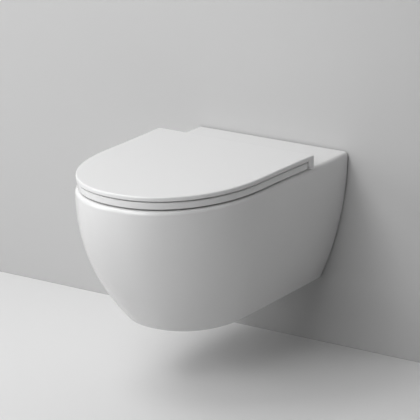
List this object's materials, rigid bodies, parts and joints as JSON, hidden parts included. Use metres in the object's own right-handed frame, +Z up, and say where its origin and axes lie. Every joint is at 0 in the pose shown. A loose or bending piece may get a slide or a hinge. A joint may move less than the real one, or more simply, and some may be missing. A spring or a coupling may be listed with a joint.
{
  "type": "wall hung toilet",
  "caption": "Wall hung ceramic toilet pan with a rounded front that tapers to a narrow underside, soft close seat and flat wrap-over lid, for concealed wall fixing.",
  "frame": {"origin": "midway between the two wall fixing bolts, on the wall's finished face", "axes": "+Z up, -Y out of the wall towards the toilet's front, +X to the right in a view from the front"},
  "size_m": [0.3668, 0.5708, 0.3079],
  "materials": {
    "glazed_china": "gloss",
    "duroplast": "gloss",
    "foam_mat": "matte",
    "bumper_rubber": "matte",
    "seal_rubber": "matte",
    "polished_steel": "polished",
    "stainless_rod": "brushed",
    "zinc_steel": "satin",
    "hinge_nylon": "satin",
    "grey_nylon": "matte",
    "white_plug": "satin"
  },
  "bodies": {
    "pan": {"access_plug_left": "white_plug", "access_plug_right": "white_plug", "bolt_nut_left": "zinc_steel", "bolt_nut_right": "zinc_steel", "bolt_washer_left": "zinc_steel", "bolt_washer_right": "zinc_steel", "bracket_sleeve_left": "grey_nylon", "bracket_sleeve_right": "grey_nylon", "ceramic_pan": "glazed_china", "clamp_block_left": "zinc_steel", "clamp_block_right": "zinc_steel", "clamp_screw_left": "zinc_steel", "clamp_screw_right": "zinc_steel", "expansion_bush_left": "grey_nylon", "expansion_bush_right": "grey_nylon", "flush_inlet_seal": "seal_rubber", "hinge_axle_left": "stainless_rod", "hinge_axle_right": "stainless_rod", "hinge_base_left": "polished_steel", "hinge_base_right": "polished_steel", "hinge_bolt_left": "stainless_rod", "hinge_bolt_right": "stainless_rod", "hinge_gasket_left": "seal_rubber", "hinge_gasket_right": "seal_rubber", "hinge_nut_left": "grey_nylon", "hinge_nut_right": "grey_nylon", "inlet_collar": "glazed_china", "insulation_mat": "foam_mat", "outlet_spigot": "glazed_china", "pan_rear_edge": "glazed_china", "wall_bracket_left": "zinc_steel", "wall_bracket_right": "zinc_steel"},
    "seat": {"seat_bumper_front_left": "bumper_rubber", "seat_bumper_front_right": "bumper_rubber", "seat_bumper_rear_left": "bumper_rubber", "seat_bumper_rear_right": "bumper_rubber", "seat_bush": "hinge_nylon", "seat_damper": "hinge_nylon", "seat_ring": "duroplast"},
    "lid": {"lid_bumper_left": "bumper_rubber", "lid_bumper_right": "bumper_rubber", "lid_bush": "hinge_nylon", "lid_cover": "duroplast", "lid_damper": "hinge_nylon"}
  },
  "joints": [
    {"name": "seat_hinge", "type": "hinge", "parent": "pan", "child": "seat", "pos_m": [0, -0.147, 0.1068], "axis": [-1, 0, 0], "range_deg": [0, 90]},
    {"name": "lid_hinge", "type": "hinge", "parent": "seat", "child": "lid", "pos_m": [0, -0.147, 0.1068], "axis": [-1, 0, 0], "range_deg": [0, 92]}
  ]
}
